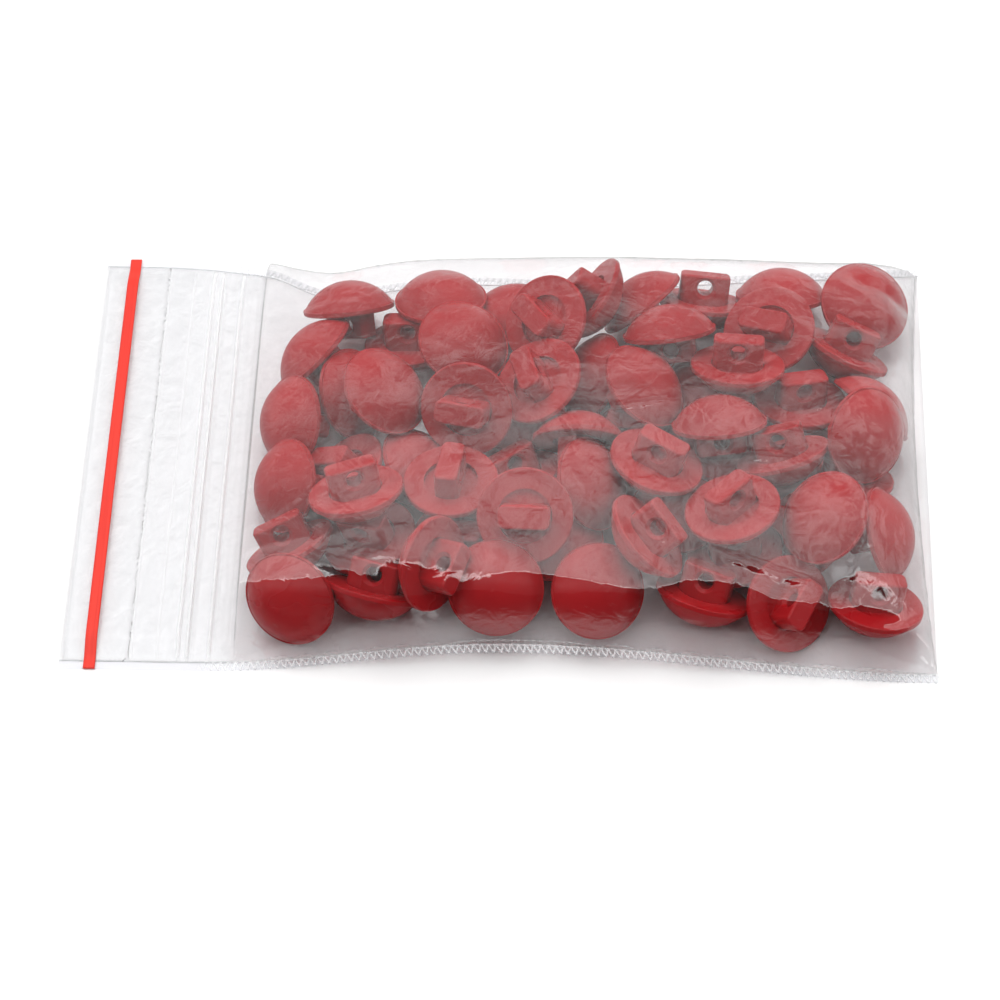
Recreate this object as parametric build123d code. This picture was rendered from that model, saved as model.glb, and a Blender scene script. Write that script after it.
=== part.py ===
from build123d import *
import math
import os

import numpy as np

# A clear grip-seal bag, lying flat and full of loose red shank buttons with domed faces.
# Millimetres. X runs along the bag from its mouth (-X) to its bottom fold (+X), Y across it, +Z up.
# The origin is on the table, under the middle of the bag.

# Bag, laid out flat
BAG_LENGTH = 118.0  # mouth edge to bottom fold
BAG_WIDTH = 70.0  # side seam to side seam, at the corners
FILM = 0.2  # one wall of film
SEAM_BAND = 1.3  # width of the two walls sealed together along each side

# Header, the flat end with the zip
HEADER_GAP = 0.25  # between the two walls at the mouth
ZIP_PLACE = 16.6  # mouth edge to the middle of the closed zip
ZIP_WIDTH = 2.6
GUIDE_REACH = 3.6  # middle of the zip to the single rib inside it
FILL_REACH = 3.3  # that rib to where the pouch begins to fill
RIB_WIDTH = 0.6
RIB_HEIGHT = 0.35  # how far a rib stands proud of the upper wall
RIB_DRAFT = 0.12  # how far each side of a rib leans
LINE_PLACE = 4.2  # mouth edge to the middle of the coloured opening line
LINE_WIDTH = 1.6
LINE_THICKNESS = 0.05

# Pouch: where the heap pulls the bag's edges in and lifts them off the table
NEAR_PULL = 2.2
FAR_PULL = 5.0
FOLD_PULL = 1.6
NEAR_LIFT = 2.5
FAR_LIFT = 1.6
BULGE_PLACE = 2.0  # where along X the side seams are pulled in most
POUCH_HEIGHT = 17.5  # to which the film presses the heap down
WALL_SLOPE = 78.0  # steepest rise of the upper film, in degrees
UNDER_REACH = 7.0  # how far in from a seam the lower film comes down to the table
FOOT_DIP = 0.1  # how far the lower film would dip below the table that flattens it

# Button: a dome with a thin band round its rim, a round well in its flat back and a block shank
BUTTON_DIAMETER = 13.0
BAND_HEIGHT = 0.7
BAND_STEP = 0.2  # how far the dome stands in from the band
LIP_RADIUS = 0.25
DOME_HEIGHT = 3.6  # above the band
WELL_DIAMETER = 7.3
WELL_DEPTH = 0.7
SHANK_LENGTH = 7.0
SHANK_WIDTH = 3.2
SHANK_HEIGHT = 3.8  # below the back
SHANK_CORNER = 0.9
SHANK_EDGE = 0.35
HOLE_DIAMETER = 2.2
HOLE_PLACE = 2.0  # below the back
HOLE_FLARE = 0.45  # width of the bevel at each end of the hole

# Heap
BUTTON_CLEARANCE = 0.16  # between two buttons
FILM_CLEARANCE = 0.5  # between a button and the film
SIGHT_ELEVATION = 56.0  # the rows below were read from this side, so a button slides along it easily
SETTLE_ROUNDS = 750
SETTLE_CALM = 0.3  # last share of the rounds, in which only touching buttons move
SETTLE_PULL = 0.25  # share of the way back to its row that a button is pulled in a round
SETTLE_SINK = 0.05  # how far a button sinks in a round
DRAPE_STEP = 1.0  # grid on which the upper film is laid over the heap
DRAPE_ROUNDS = 300
ROW_STEPS = (0.0, 1.2, 3.0, 6.0, 10.0, 16.0, 23.0)  # rows of the film's facets, inwards from a seam
END_STEPS = (6.0, 4.0, 2.6, 1.4)  # its last columns before the fold
COLUMN_COUNT = 20  # its columns in between

# The buttons that can be seen through the film. Each row is the x, y and height of the rim's centre,
# the tilt of the dome from straight up, the heading of that tilt, and the turn of the shank.
SEEN = [
    (-22.0, 19.0, 8.0, 30, 125, 125),
    (-26.0, 13.0, 7.0, 35, 150, 95),
    (-29.5, 2.0, 7.0, 50, -125, 30),
    (-16.0, 3.0, 10.0, 45, -20, 130),
    (-5.5, 12.5, 11.0, 15, -20, 120),
    (-10.0, 21.5, 8.0, 20, 100, 165),
    (-14.0, 18.0, 5.0, 170, -95, 175),
    (-22.5, 6.0, 4.0, 65, -15, 130),
    (-29.5, -9.0, 5.0, 75, -125, 35),
    (-20.0, -11.5, 9.0, 155, -60, 10),
    (-7.0, -9.5, 9.0, 160, -65, 120),
    (1.5, 21.0, 8.0, 20, 115, 150),
    (6.5, 18.0, 9.0, 155, 30, 175),
    (4.5, 5.5, 10.0, 135, 45, 25),
    (-5.5, 1.0, 10.0, 120, 90, 180),
    (13.0, 8.0, 8.0, 35, -155, 55),
    (19.0, 5.5, 11.0, 30, -5, 115),
    (22.5, 15.5, 8.0, 30, 90, 0),
    (26.0, 23.0, 8.0, 145, -90, 180),
    (12.5, 23.0, 7.5, 80, -5, 125),
    (18.5, 24.0, 6.0, 75, 180, 55),
    (29.0, 0.5, 9.0, 30, 90, 0),
    (20.5, -6.0, 9.0, 150, -125, 160),
    (11.5, -9.5, 8.0, 40, -5, 115),
    (3.5, -5.5, 6.0, 140, -40, 25),
    (9.5, -2.0, 7.0, 45, 70, 65),
    (4.0, 3.5, 4.0, 25, 90, 0),
    (31.5, 9.5, 11.0, 145, -90, 180),
    (36.5, 16.5, 9.0, 165, 25, 135),
    (39.0, 24.5, 7.0, 25, 90, 0),
    (50.0, 20.5, 9.0, 20, -60, 155),
    (48.5, 13.0, 8.0, 135, -150, 135),
    (43.5, 6.0, 8.0, 160, -65, 15),
    (51.5, 5.5, 6.0, 50, 50, 90),
    (51.0, 0.5, 6.0, 90, -35, 130),
    (38.0, -3.5, 7.0, 145, -75, 20),
    (47.5, -6.0, 6.0, 145, -65, 15),
    (30.5, 0.5, 3.5, 170, -95, 175),
    (31.0, -14.0, 10.0, 160, -45, 0),
    (43.0, -15.5, 9.0, 65, -150, 45),
    (51.0, -16.0, 7.0, 40, -5, 120),
    (40.5, -17.5, 5.0, 110, -60, 125),
    (32.5, -17.5, 5.0, 150, -80, 15),
    (51.0, -27.0, 6.0, 165, -60, 15),
    (39.5, -27.5, 7.5, 140, -175, 30),
    (28.5, -27.5, 6.0, 155, -120, 155),
    (19.5, -18.5, 9.0, 130, -160, 145),
    (3.5, -17.5, 11.0, 160, 95, 5),
    (-6.0, -17.0, 5.0, 165, 5, 105),
    (13.0, -27.0, 7.5, 40, -60, 155),
    (-1.0, -26.5, 7.5, 15, -85, 175),
    (-10.5, -25.0, 9.0, 145, 170, 170),
    (-27.0, -28.0, 6.5, 55, -95, 5),
    (-19.0, -25.0, 5.0, 155, -90, 180),
    (-29.0, -18.0, 5.0, 145, -105, 170),
    (-19.0, -17.0, 4.0, 170, -60, 35),
]

# The buttons that lie under those, in two groups, with rows as above
UNDER_LEFT = [
    (-14.0, -3.5, 4.0, 10, 30, 40),
    (-23.5, -3.0, 4.5, 165, -20, 100),
    (5.0, -26.0, 3.8, 12, -90, 30),
]
UNDER_RIGHT = [
    (17.0, 1.0, 4.5, 170, 10, 60),
    (26.0, 13.0, 4.0, 15, 200, 20),
    (21.5, -15.0, 4.0, 15, -20, 90),
]
ROWS_READ_OVER = (118.0, 70.0, 17.5)  # length, width and pouch height of the bag the rows were read in

HALF_LENGTH = BAG_LENGTH / 2
HALF_WIDTH = BAG_WIDTH / 2
HEADER_TOP = 2 * FILM + HEADER_GAP
GUIDE_PLACE = ZIP_PLACE + GUIDE_REACH
POUCH_START = GUIDE_PLACE + FILL_REACH - HALF_LENGTH
ZIP_START = ZIP_PLACE - ZIP_WIDTH / 2 - HALF_LENGTH
ZIP_END = ZIP_START + ZIP_WIDTH
BUTTON_RADIUS = BUTTON_DIAMETER / 2
DOME_FOOT = BUTTON_RADIUS - BAND_STEP
DOME_RADIUS = (DOME_FOOT**2 + DOME_HEIGHT**2) / (2 * DOME_HEIGHT)
BUTTON_TOP = BAND_HEIGHT + DOME_HEIGHT
DOME_CENTRE = BUTTON_TOP - DOME_RADIUS


def make_button():
    """One button with the centre of its back at the origin, dome up, shank along X below."""
    lip_start = BUTTON_RADIUS - LIP_RADIUS
    well_radius = WELL_DIAMETER / 2
    outline = Polyline((0, WELL_DEPTH), (well_radius, WELL_DEPTH), (well_radius, 0), (lip_start, 0))
    outline += RadiusArc((lip_start, 0), (BUTTON_RADIUS, LIP_RADIUS), -LIP_RADIUS)
    outline += Polyline((BUTTON_RADIUS, LIP_RADIUS), (BUTTON_RADIUS, BAND_HEIGHT), (DOME_FOOT, BAND_HEIGHT))
    outline += RadiusArc((DOME_FOOT, BAND_HEIGHT), (0, BUTTON_TOP), -DOME_RADIUS)
    outline += Line((0, BUTTON_TOP), (0, WELL_DEPTH))
    dome = revolve(Plane.XZ * make_face(outline), Axis.Z)
    root = (WELL_DEPTH + BUTTON_TOP) / 2
    section = RectangleRounded(SHANK_LENGTH, SHANK_WIDTH, SHANK_CORNER)
    shank = extrude(Plane.XY.offset(-SHANK_HEIGHT) * section, SHANK_HEIGHT + root)
    shank = fillet(shank.faces().sort_by(Axis.Z)[0].edges(), SHANK_EDGE)
    hole = Plane.XZ * Pos(0, -HOLE_PLACE) * Cylinder(HOLE_DIAMETER / 2, 2 * SHANK_WIDTH)
    flare = Cone(HOLE_DIAMETER / 2, HOLE_DIAMETER / 2 + HOLE_FLARE, HOLE_FLARE)
    at_face = (SHANK_WIDTH - HOLE_FLARE) / 2
    flares = [Pos(0, side * at_face, -HOLE_PLACE) * Rot(-side * 90, 0, 0) * flare for side in (-1, 1)]
    return dome + (shank - hole - flares)


def frame_of(tilt, heading, turn):
    """Rotation matrix whose third column is the dome's direction and whose first is the shank's length."""
    tilt, heading, turn = (math.radians(angle) for angle in (tilt, heading, turn))
    level = np.array([-math.sin(heading), math.cos(heading), 0.0])
    ahead = np.array([math.cos(heading), math.sin(heading), 0.0])
    dome = math.sin(tilt) * ahead + math.cos(tilt) * np.array([0.0, 0.0, 1.0])
    along = math.cos(turn) * level + math.sin(turn) * np.cross(dome, level)
    return np.stack([along, np.cross(dome, along), dome], axis=1)


def ring(radius, height, count):
    """Points evenly round a circle about the button's axis."""
    angle = 2 * math.pi * np.arange(count) / count
    return np.stack([radius * np.cos(angle), radius * np.sin(angle), np.full(count, height)], axis=1)


def dome_height(radius):
    """Height of the dome at a distance from the button's axis."""
    return DOME_CENTRE + math.sqrt(DOME_RADIUS**2 - radius**2)


def button_points(rim_count, dome_shares, ring_count, shank_columns):
    """Points over the outside of a button: lip, band, rings on the dome and the back, and the shank."""
    points = [ring(BUTTON_RADIUS, LIP_RADIUS / 2, rim_count), ring(BUTTON_RADIUS, BAND_HEIGHT, rim_count)]
    for share in dome_shares:
        radius = share * DOME_FOOT
        count = 1 + round(ring_count * share)
        points.append(ring(radius, dome_height(radius), count))
        points.append(ring(radius, 0.0, count))
    for height in (0.5, 1.0):
        for along in np.linspace(-0.5, 0.5, shank_columns) * SHANK_LENGTH:
            for side in (-0.5, 0.0, 0.5):
                points.append([[along, side * SHANK_WIDTH, -height * SHANK_HEIGHT]])
    return np.concatenate(points)


def depth_in_button(p):
    """Signed distance from points p to the outside of a button, and its outward direction there.

    The dome is a ball cut by the plane of the back and by the rim's cylinder: the largest of the three
    distances counts. The shank is a box. The nearer of the two bodies counts.
    """
    from_centre = p - [0, 0, DOME_CENTRE]
    reach = np.linalg.norm(from_centre, axis=-1) + 1e-9
    round_out = np.hypot(p[..., 0], p[..., 1]) + 1e-9
    parts = np.stack([reach - DOME_RADIUS, -p[..., 2], round_out - BUTTON_RADIUS])
    flat = np.zeros_like(p)
    flat[..., :2] = p[..., :2] / round_out[..., None]
    down = np.broadcast_to([0.0, 0.0, -1.0], p.shape)
    out = np.stack([from_centre / reach[..., None], down, flat])
    pick = parts.argmax(axis=0)
    dome_far = parts.max(axis=0)
    dome_out = np.take_along_axis(out, pick[None, ..., None], axis=0)[0]

    half = np.array([SHANK_LENGTH, SHANK_WIDTH, SHANK_HEIGHT + WELL_DEPTH]) / 2
    q = p - [0, 0, (WELL_DEPTH - SHANK_HEIGHT) / 2]
    beyond = np.abs(q) - half
    outside = np.maximum(beyond, 0)
    gap = np.linalg.norm(outside, axis=-1)
    inside = beyond.max(axis=-1)
    nearest = beyond == inside[..., None]
    block_out = np.where(gap[..., None] > 0, outside / (gap[..., None] + 1e-9), nearest) * np.sign(q)
    block_far = np.where(gap > 0, gap, inside)

    block = block_far < dome_far
    return np.where(block, block_far, dome_far), np.where(block[..., None], block_out, dome_out)


def bulge(x):
    """How much of the full pull and lift a side seam has at x: none at the zip and the fold."""
    reach = np.where(x < BULGE_PLACE, BULGE_PLACE - ZIP_END, HALF_LENGTH - BULGE_PLACE)
    away = np.clip(np.abs(x - BULGE_PLACE) / reach, 0, 1)
    return np.cos(0.5 * np.pi * away) ** 2


def fold_bulge(y):
    """The same along the bottom fold."""
    return 1 - np.minimum(np.abs(y) / HALF_WIDTH, 1) ** 2


def past_walls(world, pressed):
    """How far points lie past each wall of the pouch, and the walls' outward normals.

    The walls are the table, the film over the heap, which presses on it at first only, and above and
    below each edge of the pouch a slope through that edge.
    """
    x, y, z = world[..., 0], world[..., 1], world[..., 2]
    edges = [
        ((0, -1), -y, HALF_WIDTH - NEAR_PULL * bulge(x) - SEAM_BAND, NEAR_LIFT * bulge(x)),
        ((0, 1), y, HALF_WIDTH - FAR_PULL * bulge(x) - SEAM_BAND, FAR_LIFT * bulge(x)),
        ((1, 0), x, HALF_LENGTH - FOLD_PULL * fold_bulge(y), np.zeros_like(x)),
        ((-1, 0), -x, -POUCH_START, np.zeros_like(x)),
    ]
    steep = math.radians(WALL_SLOPE)
    normals = [(0.0, 0.0, -1.0), (0.0, 0.0, 1.0)]
    past = [FILM - z, np.where(pressed, z - POUCH_HEIGHT + FILM, -BAG_LENGTH)]
    for (out_x, out_y), out, reach, lift in edges:
        gentle = math.atan2(np.max(lift), UNDER_REACH)
        normals.append((out_x * math.sin(steep), out_y * math.sin(steep), math.cos(steep)))
        past.append((out - reach) * math.sin(steep) + (z - lift - HEADER_TOP) * math.cos(steep))
        normals.append((out_x * math.sin(gentle), out_y * math.sin(gentle), -math.cos(gentle)))
        past.append((out - reach) * math.sin(gentle) - (z - lift - FILM) * math.cos(gentle))
    return np.stack(past, axis=-1) + FILM_CLEARANCE, np.array(normals)


def button_touches(place, turn, points, world):
    """Where buttons come within the clearance of each other: (one, other, way apart, spot, depth)."""
    ball = math.hypot(BUTTON_RADIUS, BAND_HEIGHT) + BUTTON_CLEARANCE
    apart = place[:, None] - place[None]
    gap = np.linalg.norm(apart, axis=2)
    first, second = np.nonzero((gap < 2 * ball) & (gap > 0))
    local = (world[first] - place[second][:, None]) @ turn[second]
    pair, point = np.nonzero((local**2).sum(axis=2) < ball**2)
    far, out = depth_in_button(local[pair, point])
    hit = far < BUTTON_CLEARANCE
    pair, point, depth, out = pair[hit], point[hit], BUTTON_CLEARANCE - far[hit], out[hit]
    total = np.bincount(pair, depth, len(first))
    deepest = np.zeros(len(first))
    np.maximum.at(deepest, pair, depth)
    weight = (depth / total[pair])[:, None]
    way, spot = np.zeros((2, len(first), 3))
    np.add.at(way, pair, weight * np.einsum("nij,nj->ni", turn[second[pair]], out))
    np.add.at(spot, pair, weight * world[first[pair], point])
    touching = total > 0
    first, second = first[touching], second[touching]
    between = apart[first, second] / gap[first, second][:, None]
    return first, second, way[touching], between, spot[touching], deepest[touching]


def turned(frames, angles):
    """Rotation matrices turned by small rotation vectors, kept square."""
    size = np.linalg.norm(angles, axis=1)[:, None, None]
    x, y, z = angles.T
    none = np.zeros_like(x)
    cross = np.array([[none, -z, y], [z, none, -x], [-y, x, none]]).transpose(2, 0, 1) / (size + 1e-12)
    frames = (np.eye(3) + np.sin(size) * cross + (1 - np.cos(size)) * cross @ cross) @ frames
    left, _, right = np.linalg.svd(frames)
    return left @ right


def settle(rows, seen):
    """Places and turns of the buttons once none cuts into another, the table or the film.

    Each round pulls the buttons that can be seen a little towards their rows, lets all sink a little,
    and then pushes touching pairs apart at their deepest place, moving and turning both. Overlapping
    pairs are pushed along the line between them too, so that none stays locked in another.
    """
    spread = np.array([BAG_LENGTH, BAG_WIDTH, POUCH_HEIGHT]) / ROWS_READ_OVER
    home = spread * [row[:3] for row in rows]
    home_turn = np.stack([frame_of(*row[3:]) for row in rows])
    place, turn = home.copy(), home_turn.copy()
    points = button_points(36, (0.75, 0.45, 0.0), 16, 4)
    sight = np.array([0, -math.cos(math.radians(SIGHT_ELEVATION)), math.sin(math.radians(SIGHT_ELEVATION))])
    slide = 0.85  # share of the pull left out along the line of sight
    swing = (0.5 * BUTTON_RADIUS) ** 2  # squared radius of gyration
    for step in range(SETTLE_ROUNDS):
        loose = max(0.0, 1 - step / ((1 - SETTLE_CALM) * SETTLE_ROUNDS))
        off = home - place
        off -= slide * (off @ sight)[:, None] * sight
        place += SETTLE_PULL * loose * off * seen[:, None]
        place[:, 2] -= SETTLE_SINK * loose
        twist = 0.5 * np.cross(turn, home_turn, axis=1).sum(axis=2)
        spin = SETTLE_PULL * loose * twist * seen[:, None]
        move = np.zeros_like(place)
        share = np.zeros(len(place))

        world = place[:, None] + points @ turn.transpose(0, 2, 1)
        first, second, way, between, spot, deepest = button_touches(place, turn, points, world)
        way += (deepest + 1 - loose)[:, None] * between
        way /= np.linalg.norm(way, axis=1)[:, None] + 1e-9
        arm_one = np.cross(spot - place[first], way)
        arm_two = np.cross(spot - place[second], way)
        push = deepest / (2 + ((arm_one**2).sum(axis=1) + (arm_two**2).sum(axis=1)) / swing)

        past, normals = past_walls(world, loose > 0)
        hold = np.maximum(past, 0)
        body, wall = np.nonzero(hold.max(axis=1) > 0)
        point = hold.argmax(axis=1)[body, wall]
        wall_way = -normals[wall]
        wall_arm = np.cross(world[body, point] - place[body], wall_way)
        wall_push = hold[body, point, wall] / (1 + (wall_arm**2).sum(axis=1) / swing)

        for who, amount, towards, arm in (
            (first, push, way, arm_one),
            (second, -push, way, arm_two),
            (body, wall_push, wall_way, wall_arm),
        ):
            np.add.at(move, who, amount[:, None] * towards)
            np.add.at(spin, who, amount[:, None] * arm / swing)
            np.add.at(share, who, 1.0)
        ease = 1.2 / np.maximum(1, 0.4 * share)[:, None]
        place += ease * move
        turn = turned(turn, ease * spin)
    worst = max(deepest.max(initial=0.0), wall_push.max(initial=0.0))
    print(f"heap of {len(rows)} buttons: {worst:.3f} mm short of its clearances at worst")
    return place, turn


def seam_height(x, y):
    """Height of the lower film's edge under the seam nearer to (x, y)."""
    return np.where(y < 0, NEAR_LIFT, FAR_LIFT) * bulge(x)


def drape(place, turn):
    """Height of the upper film over a fine grid: stretched over the heap from edge to edge."""
    x = np.arange(-HALF_LENGTH - DRAPE_STEP, HALF_LENGTH + 1.5 * DRAPE_STEP, DRAPE_STEP)
    y = np.arange(-HALF_WIDTH - DRAPE_STEP, HALF_WIDTH + 1.5 * DRAPE_STEP, DRAPE_STEP)
    grid_x, grid_y = np.meshgrid(x, y, indexing="ij")
    points = button_points(40, (0.9, 0.75, 0.6, 0.45, 0.3, 0.15, 0.0), 36, 7)
    world = (place[:, None] + points @ turn.transpose(0, 2, 1)).reshape(-1, 3)
    column = np.rint((world[:, 0] - x[0]) / DRAPE_STEP).astype(int)
    row = np.rint((world[:, 1] - y[0]) / DRAPE_STEP).astype(int)
    heap = np.zeros(grid_x.shape)
    for shift_x, shift_y in ((0, 0), (1, 0), (-1, 0), (0, 1), (0, -1)):
        np.maximum.at(heap, (column + shift_x, row + shift_y), world[:, 2])
    heap += FILM + FILM_CLEARANCE
    edge = HEADER_TOP + seam_height(grid_x, grid_y)
    near = HALF_WIDTH - NEAR_PULL * bulge(grid_x) - SEAM_BAND
    far = HALF_WIDTH - FAR_PULL * bulge(grid_x) - SEAM_BAND
    end = HALF_LENGTH - FOLD_PULL * fold_bulge(grid_y)
    free = (grid_x > POUCH_START) & (grid_x < end) & (grid_y > -near) & (grid_y < far)
    height = edge.copy()
    for _ in range(DRAPE_ROUNDS):
        middle = height.copy()
        middle[1:-1, 1:-1] = 0.25 * (height[2:, 1:-1] + height[:-2, 1:-1] + height[1:-1, 2:] + height[1:-1, :-2])
        height = np.where(free, np.maximum(middle, heap), edge)
    return x, y, height


def highest(x, y, height, at_x, at_y):
    """The greatest height of the fine grid round each of some points."""
    i = np.clip(np.rint((at_x - x[0]) / DRAPE_STEP).astype(int), 1, len(x) - 2)
    j = np.clip(np.rint((at_y - y[0]) / DRAPE_STEP).astype(int), 1, len(y) - 2)
    return np.max([height[i + u, j + v] for u in (-1, 0, 1) for v in (-1, 0, 1)], axis=0)


def block_between(x, y, low, high):
    """Closed solid of flat triangles between two grids of heights."""

    def corners(z):
        return [[Vector(*point) for point in zip(*line)] for line in zip(x.tolist(), y.tolist(), z.tolist())]

    under, over = corners(low), corners(high)
    columns, rows = x.shape
    quads = []
    for i in range(columns - 1):
        for j in range(rows - 1):
            quads.append((over[i][j], over[i + 1][j], over[i + 1][j + 1], over[i][j + 1]))
            quads.append((under[i][j], under[i][j + 1], under[i + 1][j + 1], under[i + 1][j]))
        quads.append((under[i][0], under[i + 1][0], over[i + 1][0], over[i][0]))
        quads.append((under[i][-1], over[i][-1], over[i + 1][-1], under[i + 1][-1]))
    for j in range(rows - 1):
        quads.append((under[0][j], over[0][j], over[0][j + 1], under[0][j + 1]))
        quads.append((under[-1][j], under[-1][j + 1], over[-1][j + 1], over[-1][j]))
    triangles = [corner for a, b, c, d in quads for corner in ((a, b, c), (a, c, d))]
    return Solid(Shell([Face(Wire.make_polygon(triangle)) for triangle in triangles]))


def film_rows(x, inset):
    """Where across the bag the rows of a film grid lie, each a set distance in from a side seam."""
    near = -HALF_WIDTH + NEAR_PULL * bulge(x) + inset
    far = HALF_WIDTH - FAR_PULL * bulge(x) - inset
    rows = [near + step for step in ROW_STEPS] + [0.5 * (near + far)]
    rows += [far - step for step in reversed(ROW_STEPS)]
    return np.stack(rows, axis=1)


def film_columns():
    """Where along the bag the columns of the film grid lie, and how far each stands proud as a rib."""
    ribs = (ZIP_PLACE - ZIP_WIDTH / 2 + RIB_WIDTH, ZIP_PLACE + ZIP_WIDTH / 2 - RIB_WIDTH, GUIDE_PLACE)
    header = [(-HALF_LENGTH, 0.0)]
    for rib in ribs:
        start = rib - RIB_WIDTH / 2 - HALF_LENGTH
        end = start + RIB_WIDTH
        header += [(start - RIB_DRAFT, 0.0), (start, RIB_HEIGHT), (end, RIB_HEIGHT), (end + RIB_DRAFT, 0.0)]
    first, last = ROW_STEPS[2] + POUCH_START, HALF_LENGTH - 1.5 * END_STEPS[0]
    pouch = [POUCH_START, POUCH_START + ROW_STEPS[1], *np.linspace(first, last, COLUMN_COUNT)]
    pouch += [HALF_LENGTH - step for step in END_STEPS] + [HALF_LENGTH]
    columns = np.array(header + [(place, 0.0) for place in pouch])
    return columns[:, 0], columns[:, 1], len(header)


def make_bag(heap_x, heap_y, height):
    """The clear film: an outer pillow with the zip's ribs, less the pouch and the gap beyond the zip."""
    columns, rise, header_count = film_columns()
    inner = film_rows(columns, SEAM_BAND)
    outer = film_rows(columns, 0.0)
    y = np.concatenate([outer[:, :1], inner, outer[:, -1:]], axis=1)
    bow = np.clip((columns - BULGE_PLACE) / (HALF_LENGTH - BULGE_PLACE), 0, 1)[:, None] ** 4
    x = columns[:, None] - FOLD_PULL * fold_bulge(y) * bow
    seam = HEADER_TOP + seam_height(x, y)
    steep = seam + ROW_STEPS[1] * math.tan(math.radians(WALL_SLOPE))
    upper = highest(heap_x, heap_y, height, x, y)
    for row, next_row in ((2, 3), (-3, -4)):
        upper[:, row] = np.maximum(upper[:, row], np.minimum(upper[:, next_row], steep[:, row]))
    upper[:, :2], upper[:, -2:], upper[-1] = seam[:, :2], seam[:, -2:], seam[-1]
    upper[:header_count] = seam[:header_count]
    upper += rise[:, None]
    away = np.clip(np.minimum(y - inner[:, :1], inner[:, -1:] - y) / UNDER_REACH, 0, 1)
    lower = np.maximum(seam_height(x, y) * (1 - away) ** 2 - FOOT_DIP, 0)
    film = block_between(x, y, lower, upper)

    start = header_count
    middle = 0.5 * (inner[:, :1] + inner[:, -1:])
    inner_x = x - FILM * bow
    inner_y = y - FILM * np.clip((y - middle) / UNDER_REACH, -1, 1)
    pouch = block_between(*(grid[start:, 1:-1] for grid in (inner_x, inner_y, lower + FILM, upper - FILM)))
    slot_length = 2 * (ZIP_START + HALF_LENGTH)
    slot = Box(slot_length, BAG_WIDTH - 2 * SEAM_BAND, HEADER_GAP)
    return film - pouch - Pos(-HALF_LENGTH, 0, FILM + HEADER_GAP / 2) * slot


def make_opening_line():
    """Thin coloured strip across the header, on the upper wall."""
    place = LINE_PLACE - HALF_LENGTH
    return Pos(place, 0, HEADER_TOP + LINE_THICKNESS / 2) * Box(LINE_WIDTH, BAG_WIDTH, LINE_THICKNESS)


rows = SEEN + UNDER_LEFT + UNDER_RIGHT
places, turns = settle(rows, np.arange(len(rows)) < len(SEEN))
button = make_button()
buttons = [
    Location(Plane(origin=tuple(place), x_dir=tuple(turn[:, 0]), z_dir=tuple(turn[:, 2]))) * button
    for place, turn in zip(places, turns)
]
parts = {f"button_{number:02d}": one for number, one in enumerate(buttons[: len(SEEN)], 1)}
under = buttons[len(SEEN) :]
parts["buttons_under_left"] = Compound(children=under[: len(UNDER_LEFT)])
parts["buttons_under_right"] = Compound(children=under[len(UNDER_LEFT) :])
parts["bag"] = make_bag(*drape(places, turns))
parts["opening_line"] = make_opening_line()

os.makedirs("parts", exist_ok=True)
for name, shape in parts.items():
    export_step(shape, f"parts/{name}.step")
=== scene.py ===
import math

import bmesh
import bpy
import numpy as np
from mathutils import Matrix, Vector


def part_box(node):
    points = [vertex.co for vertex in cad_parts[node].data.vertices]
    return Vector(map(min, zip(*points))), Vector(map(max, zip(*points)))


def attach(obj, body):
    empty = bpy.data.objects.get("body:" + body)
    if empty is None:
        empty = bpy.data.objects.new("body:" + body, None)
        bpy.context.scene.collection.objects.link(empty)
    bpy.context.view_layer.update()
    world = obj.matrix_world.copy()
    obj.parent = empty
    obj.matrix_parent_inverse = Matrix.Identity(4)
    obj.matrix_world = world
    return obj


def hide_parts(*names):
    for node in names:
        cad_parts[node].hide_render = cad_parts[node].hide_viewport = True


# A clear grip-seal bag lying flat on a white table, full of loose red shank buttons with domed faces.
# Metres. X runs along the bag from its mouth to its bottom fold, Y across it and away from the camera.

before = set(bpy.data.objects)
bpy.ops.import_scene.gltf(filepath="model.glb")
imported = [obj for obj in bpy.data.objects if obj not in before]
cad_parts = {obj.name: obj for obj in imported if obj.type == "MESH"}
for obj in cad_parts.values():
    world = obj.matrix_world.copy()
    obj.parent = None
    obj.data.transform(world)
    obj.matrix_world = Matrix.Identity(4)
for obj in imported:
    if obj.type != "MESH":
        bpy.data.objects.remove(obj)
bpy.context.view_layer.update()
MM = 0.001


# Buttons
# Each is one piece of injection-moulded plastic, coloured right through: a polished dome with a thin
# band round its rim, a flat back with a round well in it, and a block shank with a hole for the thread.

BUTTON_RED = (0.50, 0.010, 0.014, 1.0)
BUTTON_DEEP_RED = (0.40, 0.006, 0.010, 1.0)


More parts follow.
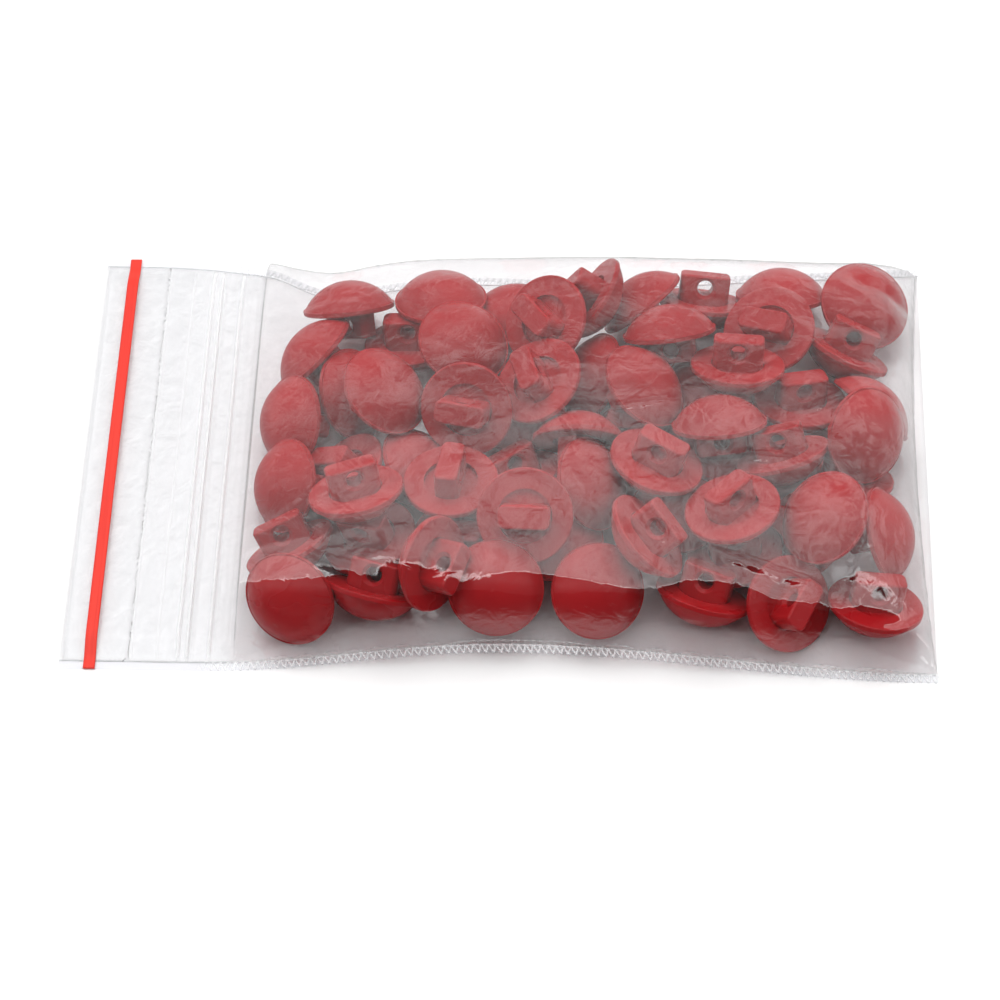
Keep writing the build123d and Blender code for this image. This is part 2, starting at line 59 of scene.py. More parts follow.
class Socket:
    """An output in a node tree. Arithmetic on it adds Math nodes."""

    def __init__(self, tree, output=None):
        self.tree, self.output = tree, output

    def node(self, kind, inputs=(), output=0, stops=(), **settings):
        """Adds any other node: its settings and a ramp's stops first, then its sockets' values or links."""
        made = self.tree.nodes.new("ShaderNode" + kind)
        for name, value in settings.items():
            setattr(made, name, value)
        for index, (place, colour) in enumerate(stops):
            ramp = made.color_ramp.elements
            stop = ramp[index] if index < len(ramp) else ramp.new(place)
            stop.position, stop.color = place, colour
        for name, value in dict(inputs).items():
            if isinstance(value, Socket):
                self.tree.links.new(value.output, made.inputs[name])
            else:
                made.inputs[name].default_value = value
        return Socket(self.tree, made.outputs[output] if made.outputs else None)

    def maths(self, operation, *values):
        return self.node("Math", dict(enumerate(values)), operation=operation)

    def smooth_step(self, low, high):
        inputs = {"Value": self, "From Min": low, "From Max": high}
        return self.node("MapRange", inputs, interpolation_type="SMOOTHSTEP")

    def __add__(self, other):
        return self.maths("ADD", self, other)

    def __sub__(self, other):
        return self.maths("SUBTRACT", self, other)

    def __rsub__(self, other):
        return self.maths("SUBTRACT", other, self)

    def __mul__(self, other):
        return self.maths("MULTIPLY", self, other)

    def __pow__(self, other):
        return self.maths("POWER", self, other)

    __radd__, __rmul__ = __add__, __mul__


def new_material(name):
    """An empty material, and a Socket that stands for its tree."""
    material = bpy.data.materials.new(name)
    material.use_nodes = True
    material.node_tree.nodes.clear()
    return material, Socket(material.node_tree)


def button_plastic():
    """Glossy moulded plastic: the colour and gloss vary a little, and the skin has a faint orange peel."""
    material, tree = new_material("button_plastic")
    place = tree.node("TexCoord", output="Object")
    clouds = tree.node("TexNoise", {"Vector": place, "Scale": 90.0, "Detail": 3.0}, output="Fac")
    peel = tree.node("TexNoise", {"Vector": place, "Scale": 900.0, "Detail": 2.0}, output="Fac")
    colour = tree.node(
        "ValToRGB", {"Fac": clouds}, output="Color", stops=((0.3, BUTTON_DEEP_RED), (0.7, BUTTON_RED))
    )
    skin = tree.node("Bump", {"Height": peel, "Strength": 0.12, "Distance": 0.05 * MM}, output="Normal")
    surface = tree.node("BsdfPrincipled", {
        "Base Color": colour, "Roughness": 0.22 + 0.12 * clouds, "Normal": skin, "Specular IOR Level": 0.35,
    })
    tree.node("OutputMaterial", {"Surface": surface})
    return material


plastic = button_plastic()
button_nodes = [node for name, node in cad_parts.items() if name.startswith("button")]
for node in button_nodes:
    node.data.materials.clear()
    node.data.materials.append(plastic)


# Bag
# Blown polyethylene film, two walls welded and cut along both sides with a knurled bar, folded at the
# bottom. The buttons hold the upper wall up, and it is stretched and creased from one to the next.

LOW, HIGH = (np.array(corner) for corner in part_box("bag"))
FILM = 0.08 * MM
LIFT_OFF_TABLE = 0.05 * MM
BUTTON_TO_FILM = 0.06 * MM
CELL = 0.25 * MM

# The outline in plan, and how far the filled pouch pulls it in and lifts it. Each pair is a place along X
# and the far side's pull there.
POUCH_START = LOW[0] + 23.5 * MM
ZIP_END = LOW[0] + 17.9 * MM
SEAM_BAND = 1.3 * MM
BULGE_PLACE = 2.0 * MM
NEAR_LIFT, FAR_LIFT = 2.5 * MM, 1.6 * MM
NEAR_PULL, FOLD_PULL = 2.2 * MM, 1.6 * MM
FAR_PLACES, FAR_PULLS = MM * np.array([
    (-59, 0), (-46, 0.3), (-41, 0.8), (-33.5, 2.3), (-29.3, 4.6), (-25.3, 6.2), (-18.8, 5.0), (-11.6, 4.1),
    (13, 4.3), (39, 1.6), (59, 0),
]).T


def through(x, places, values):
    """A smooth curve through some points: a cubic in each span, with the slope of its neighbours' chord."""
    slope = np.gradient(values, places)
    span = np.clip(np.searchsorted(places, x) - 1, 0, len(places) - 2)
    wide = places[span + 1] - places[span]
    t = np.clip((x - places[span]) / wide, 0, 1)
    rest = values[span] * (1 + 2 * t) * (1 - t) ** 2 + values[span + 1] * t**2 * (3 - 2 * t)
    return rest + wide * (slope[span] * t * (1 - t) ** 2 - slope[span + 1] * t**2 * (1 - t))


def bulge(x):
    """Share of the full pull and lift of the side seams: a squared cosine, none at the zip and the fold."""
    reach = np.where(x < BULGE_PLACE, BULGE_PLACE - ZIP_END, HIGH[0] - BULGE_PLACE)
    return np.cos(0.5 * np.pi * np.clip(np.abs(x - BULGE_PLACE) / reach, 0, 1)) ** 2


def near_edge(x):
    """Where the near side is cut: the outline, pulled in by the filled pouch."""
    return LOW[1] + NEAR_PULL * bulge(x)


def far_edge(x):
    """Where the far side is cut: the outline, pulled in unevenly as the photograph shows."""
    return HIGH[1] - through(x, FAR_PLACES, FAR_PULLS)


def seam_lift(x, y):
    """Height of the seams above the table, carried straight across the bag from one to the other."""
    across = np.clip((y - LOW[1]) / (HIGH[1] - LOW[1]), 0, 1)
    return (NEAR_LIFT * (1 - across) + FAR_LIFT * across) * bulge(x)


def ripples(shape, along, across, seed):
    """Noise of spread 1 over the grid: white noise blurred by a bell of so many cells along and across X."""
    noise = np.fft.fft2(np.random.default_rng(seed).standard_normal(shape))
    u, v = np.meshgrid(np.fft.fftfreq(shape[0]), np.fft.fftfreq(shape[1]), indexing="ij")
    blurred = np.fft.ifft2(noise * np.exp(-2 * np.pi**2 * ((u * along) ** 2 + (v * across) ** 2))).real
    return blurred / blurred.std()


SAMPLE_STEP = 0.7 * CELL


def heap_top(x, y):
    """Greatest height of the buttons over each point of a grid, from evenly spread points on their faces."""
    height = np.zeros((len(x), len(y)))
    for node in button_nodes:
        mesh = node.data
        mesh.calc_loop_triangles()
        corners = np.empty(3 * len(mesh.vertices))
        mesh.vertices.foreach_get("co", corners)
        index = np.empty(3 * len(mesh.loop_triangles), int)
        mesh.loop_triangles.foreach_get("vertices", index)
        a, b, c = corners.reshape(-1, 3)[index].reshape(-1, 3, 3).transpose(1, 0, 2)
        longest = np.max([np.linalg.norm(p - q, axis=1) for p, q in ((a, b), (b, c), (c, a))], axis=0)
        parts = np.ceil(longest / SAMPLE_STEP).astype(int)
        for count in np.unique(parts):
            pick = parts == count
            i, j = (grid.ravel() for grid in np.mgrid[: count + 1, : count + 1])
            i, j = i[i + j <= count] / count, j[i + j <= count] / count
            points = a[pick, None] + i[:, None] * (b - a)[pick, None] + j[:, None] * (c - a)[pick, None]
            points = points.reshape(-1, 3)
            points = points[np.argsort(points[:, 2])]
            column = np.rint((points[:, 0] - x[0]) / CELL).astype(int)
            row = np.rint((points[:, 1] - y[0]) / CELL).astype(int)
            layer = np.zeros_like(height)
            layer[column, row] = points[:, 2]
            height = np.maximum(height, layer)
    return height


# The crease where the near wall turns over into the top, as in the photograph: places along X and heights.
CREST_PLACES, CREST_HEIGHTS = MM * np.array([
    (-36, 1), (-30, 4), (-22, 7.8), (-16, 11.4), (-10, 12.8), (-4, 13.9), (3.7, 12.6), (12, 13.4), (18, 14.4),
    (25.6, 12), (33, 11.8), (36.5, 13.4), (40, 13.8), (44.8, 12.6), (48.6, 8), (55, 3), (59, 1),
]).T
CREST_REACH, CREST_SHOULDER = 2.0 * MM, 1.0 * MM
FOOT_REACH = 0.5 * MM
PANEL_RISE = math.tan(math.radians(58))
WALL_RISE = math.tan(math.radians(85))
TILE = 6
LEAST_HEAP = 2 * MM
UPPER_FACE = 0.05
SLACK_ROUNDS, SMOOTH_ROUNDS = 8, 2


def tent(x, y, height, edge, depth):
    """Height of a film stretched over a heap: the lowest plane z = (d - ax - by) / c on top of its hull."""
    columns, rows = (size // TILE * TILE for size in height.shape)
    tops = height[:columns, :rows].reshape(columns // TILE, TILE, rows // TILE, TILE).max(axis=(1, 3))
    at_x, at_y = np.meshgrid(x[1:columns:TILE], y[1:rows:TILE], indexing="ij")
    solid = tops > LEAST_HEAP
    points = np.stack([at_x[solid], at_y[solid], tops[solid]], axis=1)
    crest = np.stack([CREST_PLACES, near_edge(CREST_PLACES) + CREST_REACH, CREST_HEIGHTS], axis=-1)
    grid = np.stack([*np.meshgrid(x, y, indexing="ij"), edge], axis=-1).reshape(-1, 3)
    rim = grid[depth.ravel() <= 0][:: 2 * TILE]
    hull = bmesh.new()
    verts = [hull.verts.new(point) for point in np.concatenate([points, crest, rim])]
    bmesh.ops.convex_hull(hull, input=verts)
    planes = np.array([(*face.normal, face.normal.dot(face.verts[0].co)) for face in hull.faces])
    hull.free()
    lowest = np.full_like(height, np.inf)
    for a, b, c, d in planes[planes[:, 2] > UPPER_FACE]:
        lowest = np.minimum(lowest, (d - a * x[:, None] - b * y) / c)
    return lowest


def smooth(share):
    """From 0 to 1 without a corner at either end: 3s^2 - 2s^3 of a share held between 0 and 1."""
    share = np.clip(share, 0, 1)
    return share**2 * (3 - 2 * share)


def front_wall():
    """Limit of the film at the near side: upright, then a crest of 1.6t - 0.6t^2, then PANEL_RISE."""
    depth = np.maximum(flat_y - near_edge(flat_x) - FOOT_REACH, 0)
    crest = through(flat_x, CREST_PLACES, CREST_HEIGHTS) - seam_top
    over = np.clip(depth / CREST_REACH, 0, 1)
    shoulder = np.minimum(crest, CREST_SHOULDER)
    upright = np.maximum(crest - shoulder, 0) * np.clip(depth / FOOT_REACH, 0, 1)
    panel = np.maximum(depth - CREST_REACH, 0) * PANEL_RISE
    return seam_top + upright + shoulder * (1.6 * over - 0.6 * over**2) + panel


def over_buttons(height):
    """The film at the seams' height outside the pouch, and never below the buttons inside it."""
    return np.where(inward > 0, np.maximum(height, carried), seam_top)


def relax(height, rounds):
    """Each free point moves to the mean of its four neighbours, so many times."""
    for _ in range(rounds):
        mean = height.copy()
        sides = height[2:, 1:-1] + height[:-2, 1:-1] + height[1:-1, 2:] + height[1:-1, :-2]
        mean[1:-1, 1:-1] = 0.25 * sides
        height = over_buttons(mean)
    return height


HEADER_TOP = 0.65 * MM
HEADER_RISE = 4 * MM
WAVE, WAVE_FADE = 0.35 * MM, 8 * MM

grid_x = np.arange(LOW[0] - CELL, HIGH[0] + 2 * CELL, CELL)
grid_y = np.arange(LOW[1] - CELL, HIGH[1] + 2 * CELL, CELL)
flat_x, flat_y = np.meshgrid(grid_x, grid_y, indexing="ij")
heap = heap_top(grid_x, grid_y)
fold_edge = HIGH[0] - FOLD_PULL * (1 - (flat_y / HIGH[1]) ** 2)
inward = np.min([
    flat_x - POUCH_START, fold_edge - flat_x, flat_y - near_edge(flat_x) - SEAM_BAND,
    far_edge(flat_x) - SEAM_BAND - flat_y,
], axis=0)
weld = LIFT_OFF_TABLE + 1.5 * FILM + seam_lift(flat_x, flat_y)
off_seam = np.minimum(flat_y - near_edge(flat_x), far_edge(flat_x) - flat_y) - SEAM_BAND
header = (flat_x <= POUCH_START) * smooth(off_seam / HEADER_RISE)
wave = WAVE * np.clip((POUCH_START - flat_x) / WAVE_FADE, 0, 1)
wave = wave * (0.6 + 0.4 * ripples(flat_x.shape, 44, 60, seed=3))
seam_top = weld + header * np.maximum(HEADER_TOP + seam_lift(flat_x, flat_y) + wave - weld, 0)
carried = np.where(heap > 0, heap + BUTTON_TO_FILM + FILM, 0)

film = relax(over_buttons(tent(grid_x, grid_y, heap, seam_top, inward)), SLACK_ROUNDS)
film = np.minimum(film, np.minimum(front_wall(), seam_top + WALL_RISE * np.maximum(inward, 0)))

# Fine creases, where the film hangs free of the buttons, and stretched wrinkles along the bottom fold.
FREE_GAP, FREE_REACH = 1.2 * MM, 3 * MM
FOLD_START, FOLD_FADE, FOLD_REACH = HIGH[0] - 16 * MM, 12 * MM, 1 * MM
RIPPLE, RIDGE, FOLD_WRINKLE = 0.09 * MM, 0.20 * MM, 0.26 * MM
RIDGE_WIDTH = 0.30
CONTACT_GAP = 0.25 * MM

free = np.clip((film - carried) / FREE_GAP, 0, 1) * np.clip(inward / FREE_REACH, 0, 1)
ridge = np.maximum(1 - np.abs(ripples(film.shape, 18, 10, seed=11)) / RIDGE_WIDTH, 0) ** 2
film = film + free * (RIPPLE * ripples(film.shape, 11, 8, seed=5) + RIDGE * ridge)
near_fold = np.clip((flat_x - FOLD_START) / FOLD_FADE, 0, 1) * np.clip(inward / FOLD_REACH, 0, 1)
film = film + near_fold * FOLD_WRINKLE * ripples(film.shape, 22, 4.4, seed=8)
film = relax(over_buttons(film), SMOOTH_ROUNDS)
touch = np.clip(1 - (film - carried) / CONTACT_GAP, 0, 1) * (inward > 0)

# The creases that stand out in the photograph: start, end, height and half width, in millimetres.
CREASES = (
    ((42.0, -10.7), (47.6, -16.7), -0.7, 0.7),
    ((30.6, -10.3), (41.4, -11.4), 0.6, 0.5),
    ((14.4, -3.3), (24.1, -1.5), 0.5, 0.5),
    ((40.3, -3.6), (48.1, 0.4), 0.6, 0.5),
    ((38.0, -6.0), (47.0, -8.5), 0.5, 0.5),
    ((10.5, -8.3), (7.9, -3.4), 0.45, 0.4),
    ((10.5, -8.3), (6.1, -11.7), 0.45, 0.4),
    ((10.5, -8.3), (15.0, -10.0), 0.45, 0.4),
    ((14.5, -14.0), (24.0, -25.5), 0.5, 0.45),
    ((23.5, -22.0), (24.5, -30.0), 0.6, 0.35),
    ((26.0, -22.5), (25.6, -30.0), 0.5, 0.35),
    ((26.8, -24.4), (45.1, -30.3), 0.5, 0.7),
    ((-3.5, -17.5), (3.0, -25.0), 0.4, 0.4),
    ((-26.0, -25.0), (-14.0, -29.5), 0.4, 0.5),
    ((53.8, -30.1), (58.2, -34.7), 0.6, 0.6),
)


def creased(height):
    """Adds ridges and furrows: each a bell exp(-(off/wide)^2) across a line, fading towards both ends."""
    for start, end, rise, wide in CREASES:
        start, along = np.array(start) * MM, (np.array(end) - start) * MM
        length = np.hypot(*along)
        run = ((flat_x - start[0]) * along[0] + (flat_y - start[1]) * along[1]) / length
        off = ((flat_x - start[0]) * along[1] - (flat_y - start[1]) * along[0]) / length
        fade = np.clip(np.minimum(run, length - run) / (0.3 * length), 0, 1)
        height = height + rise * MM * fade * np.exp(-((off / (wide * MM)) ** 2)) * (inward > 0)
    return over_buttons(height)


film = creased(film)


def grid_height(height, x, y):
    """Height between a grid's points, straight along both axes."""
    column = np.clip((x - grid_x[0]) / CELL, 0, len(grid_x) - 1.001)
    row = np.clip((y - grid_y[0]) / CELL, 0, len(grid_y) - 1.001)
    i, j = column.astype(int), row.astype(int)
    u, v = column - i, row - j
    one = height[i, j] * (1 - v) + height[i, j + 1] * v
    return one * (1 - u) + u * (height[i + 1, j] * (1 - v) + height[i + 1, j + 1] * v)


def even_steps(places, heights, count):
    """Places that cut a profile into equal lengths, so that steep stretches get as many as flat ones."""
    length = np.concatenate([[0], np.cumsum(np.hypot(np.diff(places), np.diff(heights)))])
    return np.interp(np.linspace(0, length[-1], count), length, places)


# The zip's two ribs, the guide rib inside it and two faint lines: place from the mouth, width and height.
RIBS = ((16.0, 0.7, 0.34), (17.3, 0.7, 0.30), (20.2, 0.7, 0.28), (13.2, 0.5, 0.04), (9.7, 0.5, 0.04))
RIB_HALF = 0.6
RIB_FADE = 1.5 * MM
POUCH_COLUMNS, ROWS, LOWER_ROWS = 200, 166, 70
TUCK = 0.03 * MM


def upper_places():
    """A grid of (x, y) over the bag: columns closer at ribs and fold, rows closer where the film is steep."""
    columns = np.concatenate([
        np.arange(LOW[0] + 0.4 * MM, POUCH_START - 0.2 * MM, 1.0 * MM),
        *(LOW[0] + (place + width * np.linspace(-RIB_HALF, RIB_HALF, 9)) * MM for place, width, _ in RIBS),
    ])
    inside = (grid_x >= POUCH_START) & (grid_x <= HIGH[0])
    profile = film[inside][:, len(grid_y) // 4 :: len(grid_y) // 4].max(axis=1)
    pouch = even_steps(grid_x[inside], profile, POUCH_COLUMNS)
    pouch[-1] = HIGH[0]
    columns = np.sort(np.concatenate([columns, pouch]))
    rows = []
    for x in columns:
        y = np.linspace(near_edge(x) + SEAM_BAND - TUCK, far_edge(x) - SEAM_BAND + TUCK, 3 * ROWS)
        rows.append(even_steps(y, grid_height(film, np.full_like(y, x), y), ROWS))
    y = np.array(rows)
    bow = np.clip((columns - BULGE_PLACE) / (HIGH[0] - BULGE_PLACE), 0, 1)[:, None] ** 4
    return columns[:, None] - FOLD_PULL * (1 - (y / HIGH[1]) ** 2) * bow, y


def rib_rise(x, y):
    """Height of the ribs above the film, each a squared cosine across, flattened into the seams."""
    rise = 0 * x
    for place, width, height in RIBS:
        off = np.clip(np.abs(x - LOW[0] - place * MM) / (RIB_HALF * width * MM), 0, 1)
        rise = rise + height * MM * np.cos(0.5 * np.pi * off) ** 2
    off_seam = np.minimum(y - near_edge(x), far_edge(x) - y) - SEAM_BAND
    return rise * np.clip(off_seam / RIB_FADE, 0, 1)


def normals_of(surface):
    """Outward direction at each point of a surface grid, from the steps to its neighbours."""
    along, across = np.gradient(surface, axis=0), np.gradient(surface, axis=1)
    out = np.cross(along, across)
    return out / np.linalg.norm(out, axis=-1, keepdims=True)


def closed_sheet(name, top, under, **values):
    """A closed solid between two grids of points, joined round their rim, with named values at its points."""
    columns, rows = top.shape[:2]
    number = np.arange(columns * rows).reshape(columns, rows)
    corners = number[:-1, :-1], number[1:, :-1], number[1:, 1:], number[:-1, 1:]
    quads = np.stack(corners, axis=-1).reshape(-1, 4)
    rim = np.concatenate([number[:-1, 0], number[-1, :-1], number[:0:-1, -1], number[0, :0:-1]])
    after = np.roll(rim, -1)
    below = columns * rows
    walls = np.stack([rim, rim + below, after + below, after], axis=-1)
    faces = np.concatenate([quads, quads[:, ::-1] + below, walls])
    mesh = bpy.data.meshes.new(name)
    mesh.from_pydata(np.concatenate([top.reshape(-1, 3), under.reshape(-1, 3)]), [], faces)
    mesh.shade_smooth()
    for label, value in values.items():
        mesh.attributes.new(label, "FLOAT", "POINT").data.foreach_set("value", np.tile(value.ravel(), 2))
    piece = bpy.data.objects.new(name, mesh)
    bpy.context.scene.collection.objects.link(piece)
    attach(piece, "root")
    return piece


# Share of the light mirrored straight on and added at a slant, and the share lost where a button touches.
MIRROR, SLANT_MIRROR, CONTACT_LOSS = 0.058, 0.9, 0.25


def film_material():
    """Clear film: mirrors a few hundredths of the room, more at a slant, and is milky where it is thick."""
    material, tree = new_material("clear_film")
    place = tree.node("TexCoord", output="Object")
    touching = tree.node("Attribute", attribute_name="touch", output="Fac")
    whitened = tree.node("Attribute", attribute_name="whitened", output="Fac")
    noise = {"Vector": place, "Scale": 380.0, "Detail": 2.0, "Distortion": 0.8}
    crinkle = tree.node("TexNoise", noise, output="Fac")
    skin = tree.node("Bump", {"Height": crinkle, "Strength": 1.0, "Distance": 0.16 * MM}, output="Normal")
    facing = tree.node("LayerWeight", {"Blend": 0.5, "Normal": skin}, output="Facing")
    mirrored = (MIRROR + SLANT_MIRROR * facing**5.0) * (1.0 - CONTACT_LOSS * touching)
    clear = tree.node("BsdfTransparent", {"Color": (0.966, 0.966, 0.969, 1.0)})
    gloss = tree.node("BsdfPrincipled", {
        "Base Color": (1.0, 1.0, 1.0, 1.0), "Metallic": 1.0, "Roughness": 0.06, "Normal": skin,
    })
    surface = tree.node("MixShader", {0: mirrored, 1: clear, 2: gloss})
    milk = tree.node("BsdfDiffuse", {"Color": (0.96, 0.96, 0.97, 1.0)})
    surface = tree.node("MixShader", {0: whitened, 1: surface, 2: milk})
    shaded = tree.node("LightPath", output="Is Shadow Ray")
    thin = tree.node("BsdfTransparent", {"Color": (0.97, 0.97, 0.97, 1.0)})
    surface = tree.node("MixShader", {0: shaded, 1: surface, 2: thin})
    tree.node("OutputMaterial", {"Surface": surface})
    return material


ZIP_START = LOW[0] + 15.3 * MM
ZIP_MILK, RIB_MILK, MILKY_RISE = 0.06, 0.25, 0.2 * MM

clear_film = film_material()
x, y = upper_places()
rise = rib_rise(x, y)
upper = np.stack([x, y, grid_height(film, x, y) + rise], axis=-1)
whitened = ZIP_MILK * ((x > ZIP_START) & (x < ZIP_END)) + RIB_MILK * np.clip(rise / MILKY_RISE, 0, 1)
under = upper - FILM * normals_of(upper)
upper_film = closed_sheet("upper_film", upper, under, touch=grid_height(touch, x, y), whitened=whitened)

LOWER_SAG = 7 * MM
share = np.linspace(0, 1, LOWER_ROWS)
inner_near = near_edge(x[:, :1]) + SEAM_BAND - TUCK
inner_far = far_edge(x[:, :1]) - SEAM_BAND + TUCK
lower_y = inner_near + share * (inner_far - inner_near)
lower_x = x[:, :1] + share * (x[:, -1:] - x[:, :1])
lower_x[0] = LOW[0]
away = np.clip(np.minimum(lower_y - inner_near, inner_far - lower_y) / LOWER_SAG, 0, 1)
lower_z = LIFT_OFF_TABLE + seam_lift(lower_x, lower_y) * (1 - away) ** 2
lower = np.stack([lower_x, lower_y, lower_z + FILM], axis=-1)
lower_film = closed_sheet("lower_film", lower, lower - [0, 0, FILM])
for piece in (upper_film, lower_film):
    piece.data.materials.append(clear_film)
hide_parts("bag")


# Seams and opening line
# A hot bar welds the two walls along the sides and cuts them, and leaves a row of small pressed cells with
# white ridges. The opening line is a stripe of red film drawn into the upper wall.

CELL_PITCH, CELL_LEAN = 1.0 * MM, 0.30
STEPS_ALONG_SEAM, STEPS_ACROSS_SEAM = 12 * 118, 9
RIDGE_HEIGHT, RIDGE_HALF = 0.10 * MM, 0.22
FAINT_RIDGE, RIDGE_FADE = 0.15, 9 * MM
RAIL_PLACE, RAIL_HALF, RAIL_SHARE = 0.97, 0.10, 0.8


def seam_strip(name, edge, inwards):
    """A thin strip with a rail and a zigzag: a bell of |2|f - 1/2| - s|, f along a pitch and s across."""
    x = np.linspace(LOW[0], HIGH[0], STEPS_ALONG_SEAM)[:, None]
    share = np.linspace(0, 1, STEPS_ACROSS_SEAM)[None]
    y = edge(x) + inwards * SEAM_BAND * share
    lean = x / CELL_PITCH + CELL_LEAN * (share - 0.5)
    zigzag = np.abs(2 * np.abs(lean - np.floor(lean) - 0.5) - share)
    rail = RAIL_SHARE * np.exp(-(((share - RAIL_PLACE) / RAIL_HALF) ** 2))
    ridge = np.clip(np.exp(-((zigzag / RIDGE_HALF) ** 2)) + rail, 0, 1)
    ridge = ridge * (FAINT_RIDGE + (1 - FAINT_RIDGE) * np.clip((x - ZIP_END) / RIDGE_FADE, 0, 1))
    x = x + 0 * y
    floor = LIFT_OFF_TABLE + seam_lift(x, y)
    top = np.stack([x, y, floor + 2 * FILM + RIDGE_HEIGHT * ridge], axis=-1)[:, ::inwards]
    under = np.stack([x, y, floor], axis=-1)[:, ::inwards]
    return closed_sheet(name, top, under, whitened=ridge[:, ::inwards])


def pressed_film():
    """Welded film: whitened along its ridges, clear in its pressed cells."""
    material, tree = new_material("pressed_film")
    place = tree.node("TexCoord", output="Object")
    ridge = tree.node("Attribute", attribute_name="whitened", output="Fac")
    worn = tree.node("TexNoise", {"Vector": place, "Scale": 700.0, "Detail": 2.0}, output="Fac")
    whitened = (ridge * (0.55 + worn)).smooth_step(0.15, 0.80)
    skin = tree.node("Bump", {"Height": worn, "Strength": 0.4, "Distance": 0.08 * MM}, output="Normal")
    white = tree.node("BsdfPrincipled", {
        "Base Color": (0.93, 0.94, 0.95, 1.0), "Roughness": 0.3, "Normal": skin,
    })
    clear = tree.node("BsdfTransparent", {"Color": (0.93, 0.93, 0.94, 1.0)})
    surface = tree.node("MixShader", {0: 0.02 + 0.7 * whitened, 1: clear, 2: white})
    shaded = tree.node("LightPath", output="Is Shadow Ray")
    thin = tree.node("BsdfTransparent", {"Color": (0.95, 0.95, 0.95, 1.0)})
    surface = tree.node("MixShader", {0: shaded, 1: surface, 2: thin})
    tree.node("OutputMaterial", {"Surface": surface})
    return material


def line_colour():
    """Tinted film: an orange red, a little paler where the stripe is thinner."""
    material, tree = new_material("opening_line_red")
    place = tree.node("TexCoord", output="Object")
    streaks = tree.node("Mapping", {"Vector": place, "Scale": (2500.0, 60.0, 60.0)})
    drawn = tree.node("TexNoise", {"Vector": streaks, "Scale": 1.0, "Detail": 2.0}, output="Fac")
    colour = tree.node("ValToRGB", {"Fac": drawn}, output="Color", stops=(
        (0.3, (0.80, 0.022, 0.008, 1.0)), (0.7, (0.90, 0.035, 0.015, 1.0)),
    ))
    surface = tree.node("BsdfPrincipled", {"Base Color": colour, "Roughness": 0.25 + 0.1 * drawn})
    tree.node("OutputMaterial", {"Surface": surface})
    return material


welded = pressed_film()
for name, edge, inwards in (("near_seam", near_edge, 1), ("far_seam", far_edge, -1)):
    strip = seam_strip(name, edge, inwards)
    strip.data.materials.append(welded)

LINE_PLACE, LINE_WIDTH, LINE_THICK = 4.2 * MM, 1.6 * MM, 0.03 * MM
LINE_INSET = 0.02 * MM
line_x, line_y = np.meshgrid(
    LOW[0] + LINE_PLACE + LINE_WIDTH * np.linspace(-0.5, 0.5, 7),
    np.linspace(LOW[1] + LINE_INSET, HIGH[1] - LINE_INSET, 160),
    indexing="ij",
)
line_z = np.maximum(grid_height(film, line_x, line_y), LIFT_OFF_TABLE + 2 * FILM) + LINE_THICK
line_under = np.stack([line_x, line_y, line_z], axis=-1)
opening_line = closed_sheet("opening_line_stripe", line_under + [0, 0, LINE_THICK], line_under)
opening_line.data.materials.append(line_colour())
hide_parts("opening_line")


# Table, light and camera
# A white table under a wide soft light above and behind the bag, with a dim room in front of it. The film's
# top mirrors the light. Its near wall mirrors the table, whose mirror image carries painted shade: dimmed
# close by and dark beyond, in place of the dim room.

TABLE_HALF = 8.0
# The third level is painted shade, a near-black table that only the film's mirror image shows.
TABLE_LIT, TABLE_SHOWN, TABLE_PAINTED_SHADE = 0.92, 1.12, 0.03
# Painted shade on the table's mirror image: glossy rays see it dimmed by a third near the bag, and wholly
# dark past the second place along Y.
PAINTED_SHADE_START, PAINTED_SHADE_END, LEAST_PAINTED_SHADE = -37 * MM, -41 * MM, 0.35
table_mesh = bpy.data.meshes.new("table")
corners = [(TABLE_HALF * x, TABLE_HALF * y, 0) for x, y in ((-1, -1), (1, -1), (1, 1), (-1, 1))]
table_mesh.from_pydata(corners, [], [(0, 1, 2, 3)])
table = bpy.data.objects.new("table", table_mesh)
bpy.context.scene.collection.objects.link(table)
table_white, tree = new_material("table_white")
seen = tree.node("LightPath", output="Is Camera Ray")
mirrored = tree.node("LightPath", output="Is Glossy Ray")
lit, shown, painted_shade = (
    tree.node("BsdfDiffuse", {"Color": (level, level, level, 1.0)})
    for level in (TABLE_LIT, TABLE_SHOWN, TABLE_PAINTED_SHADE)
)
place = tree.node("TexCoord", output="Object")
far_painted_shade = 1.0 - tree.node("SeparateXYZ", {"Vector": place}, output="Y").smooth_step(PAINTED_SHADE_END, PAINTED_SHADE_START)
# Painted shade: glossy rays see the table dark, in part near the bag and wholly far from it.
lit = tree.node("MixShader", {0: mirrored * (LEAST_PAINTED_SHADE + (1 - LEAST_PAINTED_SHADE) * far_painted_shade), 1: lit, 2: painted_shade})
tree.node("OutputMaterial", {"Surface": tree.node("MixShader", {0: seen, 1: lit, 2: shown})})
table_mesh.materials.append(table_white)

ROOM_EDGE = (0.0, 0.9, 0.436)
BACK_WALL = (0.0, -0.87, 0.5)
ROOM_LIGHT, BACK_LIGHT, TOP_LIGHT, EDGE_LIGHT = 0.12, 0.95, 1.4, 3.0


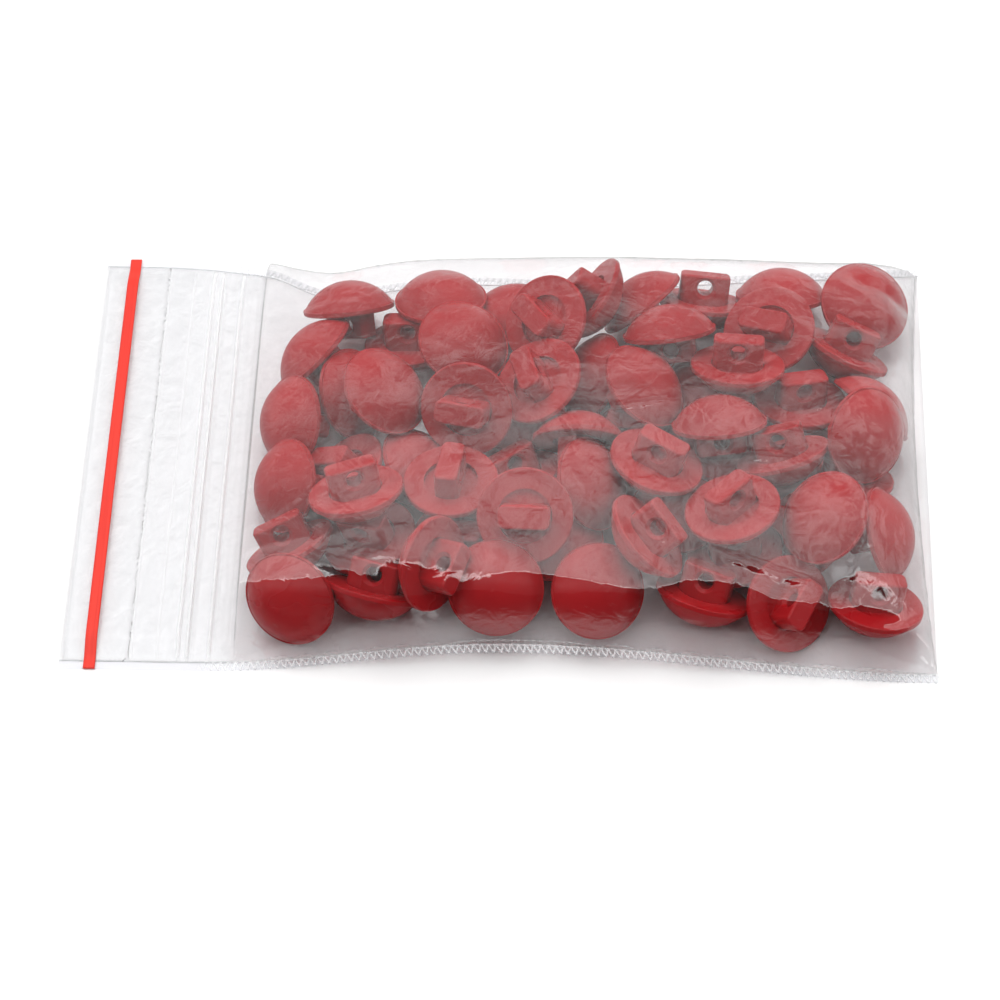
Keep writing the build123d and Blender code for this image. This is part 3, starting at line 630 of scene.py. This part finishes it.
def studio():
    """World light: bright and uneven above, softer behind, dim in front, a bright line where they meet."""
    world = bpy.data.worlds.new("studio")
    bpy.context.scene.world = world
    world.use_nodes = True
    world.node_tree.nodes.clear()
    tree = Socket(world.node_tree)
    towards = tree.node("TexCoord", output="Generated")
    front = tree.node("VectorMath", {0: towards, 1: ROOM_EDGE}, output="Value", operation="DOT_PRODUCT")
    back = tree.node("VectorMath", {0: towards, 1: BACK_WALL}, output="Value", operation="DOT_PRODUCT")
    soft = BACK_LIGHT + (TOP_LIGHT - BACK_LIGHT) * back.smooth_step(-0.5, 0.15)
    clouds = tree.node("TexNoise", {"Vector": towards, "Scale": 3.5, "Detail": 1.0}, output="Fac")
    soft = soft * (0.65 + 0.7 * clouds.smooth_step(0.35, 0.65))
    light = ROOM_LIGHT + (soft - ROOM_LIGHT) * front.smooth_step(-0.06, 0.06)
    light = light + EDGE_LIGHT * front.smooth_step(-0.04, 0.0) * (1.0 - front.smooth_step(0.03, 0.10))
    background = tree.node("Background", {"Strength": light})
    tree.node("OutputWorld", {"Surface": background})


studio()
lamp = bpy.data.objects.new("top_lamp", bpy.data.lights.new("top_lamp", "AREA"))
lamp.data.shape, lamp.data.size, lamp.data.size_y, lamp.data.energy = "RECTANGLE", 0.9, 0.7, 4.3
lamp.visible_glossy = False
lamp.location = (-0.1, 0.55, 0.9)
lamp.rotation_euler = (-lamp.location).to_track_quat("-Z", "Y").to_euler()
bpy.context.scene.collection.objects.link(lamp)

LENS, SENSOR = 118.07, 36.0
CAMERA_ELEVATION = math.radians(55.76)
CAMERA_AZIMUTH = math.radians(3.283)
CAMERA_ROLL = math.radians(-1.866)
CAMERA_DISTANCE = 454.96 * MM
CAMERA_TARGET = Vector((-0.378 * MM, -6.436 * MM, 0))
camera = bpy.data.objects.new("camera", bpy.data.cameras.new("camera"))
camera.data.lens, camera.data.sensor_width = LENS, SENSOR
back = Vector((
    math.sin(CAMERA_AZIMUTH) * math.cos(CAMERA_ELEVATION),
    -math.cos(CAMERA_AZIMUTH) * math.cos(CAMERA_ELEVATION),
    math.sin(CAMERA_ELEVATION),
))
right = Vector((0, 0, 1)).cross(back).normalized()
turn = Matrix((right, back.cross(right), back)).transposed().to_4x4()
turn = turn @ Matrix.Rotation(CAMERA_ROLL, 4, "Z")
camera.matrix_world = Matrix.Translation(CAMERA_TARGET + CAMERA_DISTANCE * back) @ turn
bpy.context.scene.collection.objects.link(camera)
bpy.context.scene.camera = camera
bpy.context.scene.view_settings.view_transform = "Standard"
# A sight line along the bag passes through many folds of clear film.
bpy.context.scene.cycles.transparent_max_bounces = 32
